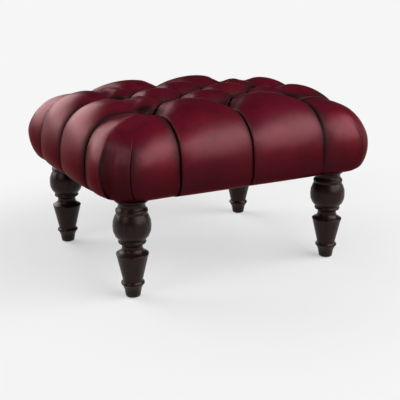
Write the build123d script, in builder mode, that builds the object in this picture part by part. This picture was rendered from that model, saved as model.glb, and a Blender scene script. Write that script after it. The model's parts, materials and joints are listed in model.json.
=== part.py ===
from build123d import *
import os
from math import cos, radians, sin, sqrt

os.makedirs("parts", exist_ok=True)

# Footstool with a deep-buttoned leather cushion on four turned wooden legs.
# Millimetres, +Z up, +X along the long side, origin on the floor under the middle.

# Where the legs stand and how high they carry the seat
leg_spacing_x = 470.5
leg_spacing_y = 376.0
leg_length = 198.0

# Glide nailed under each foot
glide_radius = 9.0
glide_thickness = 2.0

# Turned leg, feature by feature from the foot up; the throat takes what height is left
foot_height = 18.0
foot_ring_height = 13.4
shaft_height = 57.4
cove_height = 13.4
collar_height = 13.8
ball_height = 54.0
bead_height = 9.0
foot_tip_radius = 14.4
foot_top_radius = 17.8
foot_ring_radius = 22.9
ankle_radius = 19.8
rim_radius = 32.2
rim_edge = 2.6
neck_radius = 20.2
collar_radius = 27.4
collar_top_radius = 27.0
ball_radius = 37.8
ball_top_radius = 30.2
bead_radius = 31.6
bead_top_radius = 29.2
throat_radius = 26.4
leg_top_radius = 34.0
leg_top_edge = 2.0

# Hanger bolt that screws a leg to its corner block
bolt_radius = 4.0
bolt_in_leg = 36.0
bolt_in_block = 44.0

# Tee nut sunk in the top of each corner block
tee_flange_radius = 10.0
tee_flange_thickness = 1.6
tee_barrel_radius = 5.3
tee_barrel_length = 10.0

# Beech frame: four rails, dowelled at the corners, with a glued block in each
rail_thickness = 20.0
rail_height = 70.0
rail_beyond_leg_x = 35.0
rail_beyond_leg_y = 31.0
block_height = 42.0
block_leg = 62.0
block_nose = 26.0
dowel_radius = 4.0
dowel_length = 44.0
dowel_spacing = 38.0

# Plywood deck screwed on the rails
deck_thickness = 12.0
deck_screw_radius = 2.0
deck_screw_head_radius = 4.0
deck_screw_length = 32.0
deck_screw_pitch = 150.0
twine_hole_radius = 3.0

# Underside cloth, leather and their staples
dust_cover_thickness = 0.6
dust_cover_margin = 12.0
leather_thickness = 1.8
hem_width = 24.0
staple_pitch = 92.0
staple_crown = 10.0
staple_wire = 1.0
staple_leg = 9.0
staple_margin = 3.0

# Foam block under the wadding, with a well at each button
foam_overhang = 5.0
foam_height = 58.0
foam_edge_slope = 30.0
foam_corner_slope = 50.0
foam_well_radius = 20.0

# Wadding laid over the foam and down the sides of the frame
wadding_top = 7.0
wadding_side = 16.0
wadding_edge_slope = 46.0
wadding_corner_slope = 70.0
wadding_hem = 30.0
wadding_well_radius = 30.0
well_sides = 8

# Buttons: three rows of three with two rows of two between them
button_pitch_x = 170.0
button_pitch_y = 136.0
button_radius = 11.0
button_height = 6.5
button_floor_z = 343.0
button_drop = 1.0
pocket_clearance = 1.0
pocket_slope = 35.0
pocket_sides = 8
twine_width = 2.0
twine_thickness = 1.0
toggle_length = 26.0
toggle_width = 9.0
toggle_thickness = 5.0
soft_clearance = 0.3
fit_clearance = 0.3

# Cushion: heights of its forms above the floor
diamond_crest_z = 379.0
lobe_crest_z = 376.0
lobe_quarter_z = 372.0
ridge_z = 363.0
pleat_crest_front_z = 358.0
pleat_crest_end_z = 365.0
corner_crest_z = 359.0
bulge_z = 275.0
core_z = 338.0
core_side = 30.0
# How far the sides stand out from the outer buttons, in the pleats and at the lobes
pleat_reach_front = 115.0
pleat_reach_end = 137.0
lobe_bulge = 13.0
under_roll = 28.0
# How far the tops of the forms lie outside the line of the outer buttons
pleat_top_front = 36.0
pleat_top_end = 46.0
quarter_top_front = 22.0
quarter_top_end = 40.0
crest_top_front = 8.0
crest_top_end = 36.0
# Round the corner button: a lobe, a fold, the corner, a fold and a lobe, by angle from the front
corner_lobe_front_angle = 20.0
fold_front_angle = 39.0
corner_angle = 53.0
fold_end_angle = 67.0
corner_lobe_end_angle = 78.5
corner_lobe_front_reach = 137.0
fold_front_reach = 152.0
corner_reach = 166.0
fold_end_reach = 142.0
corner_lobe_end_reach = 148.0
corner_top = 48.0
profile_back = 6.0
tuft_overrun = 1.0

# Shares that shape the turned beads and the arcs of a padded profile
bead_share = 0.36
shoulder_share = 0.72
wall_share = 0.36
wall_out_share = 0.12
quarter_bulge_share = 0.75
cove_share = 0.25
flat_share = 1 / 3
station_shares = (0.25, 0.5)


# Levels and half sizes worked out from the values above
underside_z = glide_thickness + leg_length
hem_z = underside_z + dust_cover_thickness
rail_z = hem_z + leather_thickness
deck_z = rail_z + rail_height
foam_z = deck_z + deck_thickness
leg_x = leg_spacing_x / 2
leg_y = leg_spacing_y / 2
frame_x = leg_x + rail_beyond_leg_x
frame_y = leg_y + rail_beyond_leg_y
corners = [(sx, sy) for sx in (-1, 1) for sy in (-1, 1)]
corner_names = {(-1, -1): "front_left", (1, -1): "front_right",
                (-1, 1): "rear_left", (1, 1): "rear_right"}
leg_places = [(leg_x * sx, leg_y * sy) for sx, sy in corners]
rows = (-1, 0, 1)
button_places = [(button_pitch_x * i, button_pitch_y * j) for i in rows for j in rows]
button_places += [(button_pitch_x / 2 * sx, button_pitch_y / 2 * sy) for sx, sy in corners]


def finish(part, name):
    part.label = name
    export_step(part, f"parts/{name}.step")


# Legs
def bead(z_low, z_high, radius):
    """The two outer corners of a small bead cut with a skew chisel."""
    height = z_high - z_low
    return ((radius, z_low + height * bead_share), (radius, z_high - height * bead_share))


def turned_leg(x, y):
    z_foot = glide_thickness + foot_height
    z_ring = z_foot + foot_ring_height
    z_shaft = z_ring + shaft_height
    z_cove = z_shaft + cove_height
    z_collar = z_cove + collar_height
    z_ball = z_collar + ball_height
    z_bead = z_ball + bead_height
    z_top = underside_z - leg_top_edge
    with BuildPart(Plane.XY) as leg:
        with BuildSketch(Plane((x, y, 0), x_dir=(1, 0, 0), z_dir=(0, -1, 0))):
            with BuildLine():
                Polyline((0, glide_thickness), (foot_tip_radius, glide_thickness),
                         (foot_top_radius, z_foot))
                Polyline((foot_top_radius, z_foot), *bead(z_foot, z_ring, foot_ring_radius),
                         (ankle_radius, z_ring), (rim_radius, z_shaft - rim_edge),
                         (rim_radius, z_shaft))
                ThreePointArc((rim_radius, z_shaft),
                              (neck_radius + (rim_radius - neck_radius) * cove_share,
                               (z_shaft + z_cove) / 2),
                              (neck_radius, z_cove))
                Polyline((neck_radius, z_cove), *bead(z_cove, z_collar, collar_radius),
                         (collar_top_radius, z_collar))
                ThreePointArc((collar_top_radius, z_collar),
                              (ball_radius, (z_collar + z_ball) / 2), (ball_top_radius, z_ball))
                Polyline((ball_top_radius, z_ball), *bead(z_ball, z_bead, bead_radius),
                         (bead_top_radius, z_bead))
                ThreePointArc((bead_top_radius, z_bead),
                              (throat_radius, (z_bead + z_top) / 2), (leg_top_radius, z_top))
                Polyline((leg_top_radius, z_top), (leg_top_radius, underside_z),
                         (0, underside_z), (0, glide_thickness))
            make_face()
        revolve(axis=Axis((x, y, 0), (0, 0, 1)))
        with BuildSketch(Plane((x, y, underside_z))):
            Circle(bolt_radius)
        extrude(amount=-bolt_in_leg, mode=Mode.SUBTRACT)
    return leg.part


for sx, sy in corners:
    finish(turned_leg(leg_x * sx, leg_y * sy), f"leg_{corner_names[sx, sy]}")

with BuildPart() as glides:
    with BuildSketch():
        with Locations(*leg_places):
            Circle(glide_radius)
    extrude(amount=glide_thickness)
finish(glides.part, "foot_glides")

with BuildPart() as hanger_bolts:
    with BuildSketch(Plane.XY.offset(underside_z - bolt_in_leg)):
        with Locations(*leg_places):
            Circle(bolt_radius)
    extrude(amount=bolt_in_leg + bolt_in_block)
finish(hanger_bolts.part, "hanger_bolts")

screw_count_x = int(frame_x * 2 / deck_screw_pitch)
deck_screws_x = [deck_screw_pitch * (i - (screw_count_x - 1) / 2) for i in range(screw_count_x)]
rail_mid_y = frame_y - rail_thickness / 2
deck_screw_places = [(x, rail_mid_y * sy) for x in deck_screws_x for sy in (-1, 1)]

# Staples hold the dust cover and the leather hem to the rails from below
def staple_row(half_length, along_x, across):
    """Places and turns of the staples along one rail, evenly spaced about its middle."""
    count = int(half_length * 2 / staple_pitch)
    steps = [staple_pitch * (i - (count - 1) / 2) for i in range(count)]
    if along_x:
        return [Location((s, across), 0) for s in steps]
    return [Location((across, s), 90) for s in steps]


staple_line_x = frame_x - dust_cover_margin - staple_margin
staple_line_y = frame_y - dust_cover_margin - staple_margin
leg_top_clear_x = leg_x - leg_top_radius - staple_crown
leg_top_clear_y = leg_y - leg_top_radius - staple_crown
staple_places = []
for side in (-1, 1):
    staple_places += staple_row(leg_top_clear_x, True, staple_line_y * side)
    staple_places += staple_row(leg_top_clear_y, False, staple_line_x * side)
staple_reach = staple_leg - dust_cover_thickness - leather_thickness


def staple_legs_sketch():
    with Locations(*staple_places):
        with Locations((-staple_crown / 2, 0), (staple_crown / 2, 0)):
            Rectangle(staple_wire, staple_wire)


# Frame: the long rails run through and the end rails stand between them
dowel_levels = [rail_z + rail_height / 2 + dowel_spacing / 2 * s for s in (-1, 1)]


def dowel_circles(sx):
    """Dowel places on one end, drawn on a plane that looks along Y."""
    with Locations(*[((frame_x - rail_thickness / 2) * sx, z) for z in dowel_levels]):
        Circle(dowel_radius)


def long_rail(sy):
    with BuildPart() as rail:
        with BuildSketch(Plane.XY.offset(rail_z)):
            with Locations((0, (frame_y - rail_thickness / 2) * sy)):
                Rectangle(frame_x * 2, rail_thickness)
        extrude(amount=rail_height)
        with BuildSketch(Plane((0, frame_y * sy, 0), x_dir=(1, 0, 0), z_dir=(0, -1, 0))):
            for sx in (-1, 1):
                dowel_circles(sx)
        extrude(amount=rail_thickness * sy, mode=Mode.SUBTRACT)
        with BuildSketch(Plane.XY.offset(deck_z)):
            with Locations(*deck_screw_places):
                Circle(deck_screw_radius)
        extrude(amount=deck_thickness - deck_screw_length, mode=Mode.SUBTRACT)
        with BuildSketch(Plane.XY.offset(rail_z)):
            staple_legs_sketch()
        extrude(amount=staple_reach, mode=Mode.SUBTRACT)
    return rail.part


def end_rail(sx):
    inner = frame_y - rail_thickness
    with BuildPart() as rail:
        with BuildSketch(Plane.XY.offset(rail_z)):
            with Locations(((frame_x - rail_thickness / 2) * sx, 0)):
                Rectangle(rail_thickness, inner * 2)
        extrude(amount=rail_height)
        for sy in (-1, 1):
            with BuildSketch(Plane((0, inner * sy, 0), x_dir=(1, 0, 0), z_dir=(0, -1, 0))):
                dowel_circles(sx)
            extrude(amount=(dowel_length - rail_thickness) * sy, mode=Mode.SUBTRACT)
        with BuildSketch(Plane.XY.offset(rail_z)):
            staple_legs_sketch()
        extrude(amount=staple_reach, mode=Mode.SUBTRACT)
    return rail.part


finish(long_rail(-1), "rail_front")
finish(long_rail(1), "rail_rear")
finish(end_rail(-1), "rail_left")
finish(end_rail(1), "rail_right")

with BuildPart() as dowels:
    for sy in (-1, 1):
        with BuildSketch(Plane((0, frame_y * sy, 0), x_dir=(1, 0, 0), z_dir=(0, -1, 0))):
            for sx in (-1, 1):
                dowel_circles(sx)
        extrude(amount=dowel_length * sy)
finish(dowels.part, "frame_dowels")


def corner_block(sx, sy):
    """Block glued in a corner, its nose cut off square to the diagonal, bored for the bolt."""
    x0 = (frame_x - rail_thickness) * sx
    y0 = (frame_y - rail_thickness) * sy
    with BuildPart() as block:
        with BuildSketch(Plane.XY.offset(rail_z)):
            with BuildLine():
                Polyline((x0, y0), (x0 - block_leg * sx, y0),
                         (x0 - block_leg * sx, y0 - block_nose * sy),
                         (x0 - block_nose * sx, y0 - block_leg * sy),
                         (x0, y0 - block_leg * sy), close=True)
            make_face()
        extrude(amount=block_height)
        with BuildSketch(Plane((leg_x * sx, leg_y * sy, rail_z))):
            Circle(bolt_radius + fit_clearance)
        extrude(amount=block_height, mode=Mode.SUBTRACT)
        with BuildSketch(Plane((leg_x * sx, leg_y * sy, rail_z + block_height))):
            Circle(tee_barrel_radius)
        extrude(amount=-tee_barrel_length, mode=Mode.SUBTRACT)
    return block.part


for sx, sy in corners:
    finish(corner_block(sx, sy), f"corner_block_{corner_names[sx, sy]}")

with BuildPart() as tee_nuts:
    with BuildSketch(Plane.XY.offset(rail_z + block_height)):
        with Locations(*leg_places):
            Circle(tee_flange_radius)
    extrude(amount=tee_flange_thickness)
    with BuildSketch(Plane.XY.offset(rail_z + block_height)):
        with Locations(*leg_places):
            Circle(tee_barrel_radius)
    extrude(amount=-tee_barrel_length)
    with BuildSketch(Plane.XY.offset(rail_z + block_height + tee_flange_thickness)):
        with Locations(*leg_places):
            Circle(bolt_radius)
    extrude(amount=-tee_flange_thickness - tee_barrel_length, mode=Mode.SUBTRACT)
finish(tee_nuts.part, "tee_nuts")

# Deck
with BuildPart() as deck:
    with BuildSketch(Plane.XY.offset(deck_z)):
        Rectangle(frame_x * 2, frame_y * 2)
    extrude(amount=deck_thickness)
    with BuildSketch(Plane.XY.offset(deck_z)):
        with Locations(*button_places):
            Circle(twine_hole_radius)
    extrude(amount=deck_thickness, mode=Mode.SUBTRACT)
    with Locations(*[(x, y, foam_z) for x, y in deck_screw_places]):
        CounterSinkHole(deck_screw_radius, deck_screw_head_radius)
finish(deck.part, "seat_deck")

# Countersunk screws: the head's cone is the one that the hole feature cuts for it
with BuildPart() as deck_screws:
    head_depth = deck_screw_head_radius - deck_screw_radius
    with BuildSketch(Plane.XY.offset(foam_z - deck_screw_length)):
        with Locations(*deck_screw_places):
            Circle(deck_screw_radius)
    extrude(amount=deck_screw_length)
    with Locations(*[(x, y, foam_z - head_depth / 2) for x, y in deck_screw_places]):
        Cone(deck_screw_radius, deck_screw_head_radius, head_depth)
finish(deck_screws.part, "deck_screws")

with BuildPart() as twine_toggles:
    with BuildSketch(Plane.XY.offset(deck_z)):
        with Locations(*button_places):
            Rectangle(toggle_length, toggle_width)
    extrude(amount=-toggle_thickness)
finish(twine_toggles.part, "twine_toggles")

with BuildPart() as button_twines:
    with BuildSketch(Plane.XY.offset(deck_z)):
        with Locations(*button_places):
            Rectangle(twine_width, twine_thickness)
    extrude(amount=button_floor_z - deck_z)
finish(button_twines.part, "button_twines")


# Underside: dust cover and the staples through it
with BuildPart() as dust_cover:
    with BuildSketch(Plane.XY.offset(underside_z)):
        Rectangle((frame_x - dust_cover_margin) * 2, (frame_y - dust_cover_margin) * 2)
        with Locations(*leg_places):
            Circle(bolt_radius + fit_clearance, mode=Mode.SUBTRACT)
        with Locations(*staple_places):
            with Locations((-staple_crown / 2, 0), (staple_crown / 2, 0)):
                Rectangle(staple_wire, staple_wire, mode=Mode.SUBTRACT)
    extrude(amount=dust_cover_thickness)
finish(dust_cover.part, "dust_cover")

with BuildPart() as staples:
    with BuildSketch(Plane.XY.offset(underside_z - staple_wire)):
        with Locations(*staple_places):
            Rectangle(staple_crown + staple_wire, staple_wire)
    extrude(amount=staple_wire)
    with BuildSketch(Plane.XY.offset(underside_z)):
        staple_legs_sketch()
    extrude(amount=staple_leg)
finish(staples.part, "staples")


# Padded forms: every profile is a closed shape in an upright plane, drawn outward from a button
def padded_profile(at, angle, top, top_z, start, start_z, reach, inset):
    """Profile of the padding on the plane that leaves `at` at `angle` from the front.

    It rises from the buttoned line to its top, rolls over the shoulder to the wall and
    turns under to the frame. `inset` draws it that much inside the leather's outer face,
    and with flats for its arcs, which the leather's hidden face needs no better.
    """
    back_radius = ((top - start) ** 2 + (top_z - start_z) ** 2) / (2 * (top_z - start_z))
    back = max(start - profile_back, top - back_radius + profile_back / 2)
    if start >= 0:
        back = max(back, profile_back)
    half = (back + top) / 2
    top_z -= inset
    reach -= inset

    def on_back(out):
        return top_z - back_radius + sqrt(back_radius ** 2 - (top - out) ** 2)

    base = hem_z + inset
    foot = reach - under_roll
    a = radians(angle)
    upright = Plane(at, x_dir=(-sin(a), -cos(a), 0), z_dir=(-cos(a), sin(a), 0))
    with BuildSketch(upright) as profile:
        with BuildLine() as arcs:
            ThreePointArc((back, on_back(back)), (half, on_back(half)), (top, top_z))
            ThreePointArc((top, top_z),
                          (top + (reach - top) * shoulder_share,
                           bulge_z + (top_z - bulge_z) * shoulder_share),
                          (reach, bulge_z))
            ThreePointArc((reach, bulge_z),
                          (reach - under_roll * wall_out_share,
                           base + (bulge_z - base) * wall_share),
                          (foot, base))
            Polyline((foot, base), (back, base), (back, on_back(back)))
        make_face()
    if inset == 0:
        return profile.sketch
    corners_of_profile = [(back, base)]
    for arc in arcs.edges().filter_by(GeomType.CIRCLE):
        steps = (0, flat_share, flat_share * 2)
        corners_of_profile += [((arc @ step).X, (arc @ step).Y) for step in steps]
    corners_of_profile.append((foot, base))
    with BuildSketch(upright) as coarse:
        with BuildLine():
            Polyline(*corners_of_profile, close=True)
        make_face()
    return coarse.sketch


def side_lobe(angle, inset):
    """The lobe between two pleats on the front (angle 0) or the left end (angle 90)."""
    front = angle == 0
    pitch = button_pitch_x if front else button_pitch_y
    depth = (button_pitch_y if front else button_pitch_x) / 2
    reach = pleat_reach_front if front else pleat_reach_end
    pleat_crest_z = pleat_crest_front_z if front else pleat_crest_end_z
    pleat_top = pleat_top_front if front else pleat_top_end
    quarter_top = quarter_top_front if front else quarter_top_end
    crest_top = crest_top_front if front else crest_top_end
    start_z = button_floor_z + button_drop
    quarter, middle = station_shares
    stations = [
        (0, pleat_top, pleat_crest_z, 0, start_z, 0),
        (quarter, quarter_top, lobe_quarter_z, -depth / 2, ridge_z, quarter_bulge_share),
        (middle, crest_top, lobe_crest_z, -depth, start_z, 1),
    ]
    stations += [(1 - s[0], *s[1:]) for s in reversed(stations[:2])]
    profiles = []
    for share, top, top_z, start, start_z, bulge in stations:
        along = -pitch * (1 - share)
        at = (along, -button_pitch_y, 0) if front else (-button_pitch_x, along, 0)
        profiles.append(padded_profile(at, angle, top, top_z, start, start_z,
                                       reach + lobe_bulge * bulge, inset))
    with BuildPart() as lobe:
        loft(profiles, ruled=True)
        with BuildSketch():
            with BuildLine():
                if front:
                    y = -button_pitch_y
                    Polyline((-pitch, y), (-pitch / 2, y + depth), (0, y),
                             (0, y - reach * 2), (-pitch, y - reach * 2), close=True)
                else:
                    x = -button_pitch_x
                    Polyline((x, -pitch), (x + depth, -pitch / 2), (x, 0),
                             (x - reach * 2, 0), (x - reach * 2, -pitch), close=True)
            make_face()
        extrude(amount=diamond_crest_z, mode=Mode.INTERSECT)
    return lobe.part


def corner_lobes(inset):
    """The front left corner: two lobes and the corner between two folds."""
    start_z = button_floor_z + button_drop
    pleat_front = (0, pleat_top_front, pleat_crest_front_z, pleat_reach_front)
    lobe_front = (corner_lobe_front_angle, corner_top, corner_crest_z, corner_lobe_front_reach)
    fold_front = (fold_front_angle, corner_top, corner_crest_z, fold_front_reach)
    middle = (corner_angle, corner_top, corner_crest_z, corner_reach)
    fold_end = (fold_end_angle, corner_top, corner_crest_z, fold_end_reach)
    lobe_end = (corner_lobe_end_angle, corner_top, corner_crest_z, corner_lobe_end_reach)
    pleat_end = (90, pleat_top_end, pleat_crest_end_z, pleat_reach_end)
    with BuildPart() as corner:
        for wedge in ((pleat_front, lobe_front, fold_front), (fold_front, middle, fold_end),
                      (fold_end, lobe_end, pleat_end)):
            loft([padded_profile((-button_pitch_x, -button_pitch_y, 0), angle, top, top_z,
                                 0, start_z, reach, inset)
                  for angle, top, top_z, reach in wedge], ruled=True)
    return corner.part


def half_tuft(x, y, outline, inset):
    """Half of the tuft round (x, y), domed and cut off along the lines of buttons."""
    half_x = button_pitch_x / 2
    half_y = button_pitch_y / 2
    drop = diamond_crest_z - button_floor_z - button_drop
    low = core_z - core_side * 2
    radius_x = (half_x ** 2 + drop ** 2) / (2 * drop)
    radius_y = (half_y ** 2 + drop ** 2) / (2 * drop)
    side = half_y + tuft_overrun
    side_drop = radius_y - sqrt(radius_y ** 2 - side ** 2)
    with BuildPart() as tuft:
        for out in (-half_x - tuft_overrun, -half_x / 2, 0, half_x / 2, half_x + tuft_overrun):
            crest = diamond_crest_z - inset - radius_x + sqrt(radius_x ** 2 - out ** 2)
            with BuildSketch(Plane((x + out, y, 0), x_dir=(0, 1, 0), z_dir=(1, 0, 0))):
                with BuildLine():
                    ThreePointArc((-side, crest - side_drop), (0, crest),
                                  (side, crest - side_drop))
                    Polyline((side, crest - side_drop), (side, low), (-side, low),
                             (-side, crest - side_drop))
                make_face()
        loft(ruled=True)
        with BuildSketch():
            with BuildLine():
                Polyline(*outline, close=True)
            make_face()
        extrude(amount=diamond_crest_z, mode=Mode.INTERSECT)
    return tuft.part


def cushion_body(inset):
    """The whole buttoned form, `inset` inside the outer face of the leather."""
    base = hem_z + inset
    middle = (0, 0)
    inner = (-button_pitch_x / 2, -button_pitch_y / 2)
    front = (0, -button_pitch_y)
    end = (-button_pitch_x, 0)
    corner = (-button_pitch_x, -button_pitch_y)
    with BuildPart() as quarter:
        with BuildSketch(Plane.XY.offset(base)):
            half_x = button_pitch_x + core_side
            half_y = button_pitch_y + core_side
            with Locations((-half_x / 2, -half_y / 2)):
                Rectangle(half_x, half_y)
        extrude(amount=core_z - base)
        add([side_lobe(0, inset), side_lobe(90, inset), corner_lobes(inset),
             half_tuft(inner[0], 0, (end, inner, middle), inset),
             half_tuft(0, inner[1], (front, inner, middle), inset)], clean=False)
        with BuildSketch(Plane.XY.offset(button_floor_z - inset)):
            with Locations(middle, inner, front, end, corner):
                RegularPolygon(button_radius + pocket_clearance + inset, pocket_sides,
                               major_radius=False)
        extrude(amount=diamond_crest_z - button_floor_z + inset * 2, taper=-pocket_slope,
                mode=Mode.SUBTRACT, clean=False)
    with BuildPart() as half:
        add(quarter.part)
        mirror(about=Plane.YZ)
    with BuildPart() as body:
        add(half.part)
        mirror(about=Plane.XZ)
    return body.part


# Foam block with a well at each button, and the wadding laid over it
def trimmed_block(z, half_x, half_y, height, corner_slope, edge_slope):
    """A block with its corners and its top edge cut off at a slope, as foam is trimmed."""
    with BuildPart() as block:
        with BuildSketch(Plane.XY.offset(z)) as plan:
            Rectangle(half_x * 2, half_y * 2)
            chamfer(plan.vertices(), corner_slope)
        extrude(amount=height)
        chamfer(block.faces().sort_by(Axis.Z)[-1].edges(), edge_slope)
    return block.part


def wells(z, radius):
    """The outlines of the wells cut at the buttons, at the height that they start from."""
    with BuildSketch(Plane.XY.offset(z)) as outlines:
        with Locations(*button_places):
            RegularPolygon(radius, well_sides, major_radius=False)
    return outlines.sketch


foam_x = frame_x + foam_overhang
foam_y = frame_y + foam_overhang
with BuildPart() as foam_block:
    add(trimmed_block(foam_z, foam_x, foam_y, foam_height, foam_corner_slope, foam_edge_slope))
    extrude(wells(foam_z, foam_well_radius), amount=foam_height, mode=Mode.SUBTRACT)
finish(foam_block.part, "foam_block")

wadding_foot = rail_z + wadding_hem
wadding_height = foam_z + foam_height + wadding_top - wadding_foot
with BuildPart() as wadding:
    add(trimmed_block(wadding_foot, foam_x + wadding_side, foam_y + wadding_side,
                      wadding_height, wadding_corner_slope, wadding_edge_slope))
    with BuildSketch(Plane.XY.offset(wadding_foot)):
        Rectangle((frame_x + soft_clearance) * 2, (frame_y + soft_clearance) * 2)
    extrude(amount=foam_z - wadding_foot, mode=Mode.SUBTRACT)
    add(trimmed_block(foam_z, foam_x + soft_clearance, foam_y + soft_clearance,
                      foam_height + soft_clearance, foam_corner_slope, foam_edge_slope),
        mode=Mode.SUBTRACT)
    extrude(wells(foam_z, wadding_well_radius), amount=wadding_height, mode=Mode.SUBTRACT)
finish(wadding.part, "wadding")

with BuildPart() as leather_cover:
    add(cushion_body(0))
    add(cushion_body(leather_thickness), mode=Mode.SUBTRACT, clean=False)
    with BuildSketch(Plane.XY.offset(hem_z)):
        Rectangle((frame_x - hem_width) * 2, (frame_y - hem_width) * 2)
        with Locations(*staple_places):
            with Locations((-staple_crown / 2, 0), (staple_crown / 2, 0)):
                Rectangle(staple_wire, staple_wire)
    extrude(amount=leather_thickness, mode=Mode.SUBTRACT, clean=False)
    with BuildSketch(Plane.XY.offset(button_floor_z)):
        with Locations(*button_places):
            Rectangle(twine_width + fit_clearance * 2, twine_thickness + fit_clearance * 2)
    extrude(amount=foam_z - button_floor_z, mode=Mode.SUBTRACT, clean=False)
finish(leather_cover.part, "leather_cover")

# Covered buttons, drawn down into the tufts
dome_radius = (button_radius ** 2 + button_height ** 2) / (2 * button_height)
with BuildPart() as button:
    with BuildSketch(Plane.XZ):
        with BuildLine():
            Polyline((0, button_height), (0, 0), (button_radius, 0))
            RadiusArc((button_radius, 0), (0, button_height), -dome_radius)
        make_face()
    revolve(axis=Axis.Z)
with BuildPart() as leather_buttons:
    with Locations(*[(x, y, button_floor_z) for x, y in button_places]):
        add(button.part)
finish(leather_buttons.part, "leather_buttons")
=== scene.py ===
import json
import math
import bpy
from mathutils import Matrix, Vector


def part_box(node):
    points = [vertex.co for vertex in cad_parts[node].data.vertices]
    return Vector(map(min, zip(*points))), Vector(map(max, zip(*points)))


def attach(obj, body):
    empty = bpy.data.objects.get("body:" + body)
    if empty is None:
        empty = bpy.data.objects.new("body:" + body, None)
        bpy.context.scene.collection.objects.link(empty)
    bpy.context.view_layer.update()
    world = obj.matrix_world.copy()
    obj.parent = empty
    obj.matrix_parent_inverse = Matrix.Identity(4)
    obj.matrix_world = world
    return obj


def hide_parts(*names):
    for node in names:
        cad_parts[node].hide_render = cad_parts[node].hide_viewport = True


bl_info = {
    "name": "Buttoned leather footstool",
    "version": (1, 0, 0),
    "blender": (4, 5, 0),
    "location": "View3D > Sidebar > Footstool",
    "description": "Dresses the footstool's frame with tufted leather, turned legs and a studio",
    "category": "Object",
}

from typing import NamedTuple

import bpy
import numpy as np
from mathutils import Vector

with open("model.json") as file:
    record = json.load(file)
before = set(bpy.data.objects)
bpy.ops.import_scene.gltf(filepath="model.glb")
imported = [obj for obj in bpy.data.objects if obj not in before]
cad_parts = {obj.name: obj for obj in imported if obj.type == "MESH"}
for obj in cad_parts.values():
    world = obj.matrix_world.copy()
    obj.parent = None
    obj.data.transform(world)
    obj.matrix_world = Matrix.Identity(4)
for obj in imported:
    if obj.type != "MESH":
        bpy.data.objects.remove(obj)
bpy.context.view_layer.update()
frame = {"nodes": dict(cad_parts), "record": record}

MM = 0.001


def in_mm(box):
    """The low and the high corner of a box, in millimetres."""
    return [np.array(corner) / MM for corner in box]


# Radius of the frame's buttons, in millimetres
BUTTON_RADIUS = 11.0
# Where the frame says things are, in millimetres
BUTTONS_LOW, BUTTONS_HIGH = in_mm(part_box("leather_buttons"))
BUTTON_Z = BUTTONS_LOW[2]
PITCH_X, PITCH_Y = BUTTONS_HIGH[:2] - BUTTON_RADIUS
DIAGONAL = math.hypot(PITCH_X / 2, PITCH_Y / 2)
HEM_Z = in_mm(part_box("leather_cover"))[0][2]
FRAME_X, FRAME_Y = in_mm(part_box("seat_deck"))[1][:2]


# Shader maths
class Wire:
    """A value or colour on its way through a finish. Sums on values add Math nodes."""

    def __init__(self, finish, socket):
        self.finish = finish
        self.socket = socket

    def maths(self, operation, *values):
        return self.finish.node("ShaderNodeMath", {"operation": operation}, dict(enumerate(values)))

    def __add__(self, other):
        return self.maths("ADD", self, other)

    def __radd__(self, other):
        return self.maths("ADD", other, self)

    def __sub__(self, other):
        return self.maths("SUBTRACT", self, other)

    def __rsub__(self, other):
        return self.maths("SUBTRACT", other, self)

    def __mul__(self, other):
        return self.maths("MULTIPLY", self, other)

    def __rmul__(self, other):
        return self.maths("MULTIPLY", other, self)

    def __pow__(self, other):
        return self.maths("POWER", self, other)

    def at_least(self, other):
        return self.maths("MAXIMUM", self, other)

    def clamped(self):
        return self.maths("MINIMUM", self.at_least(0.0), 1.0)


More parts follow.
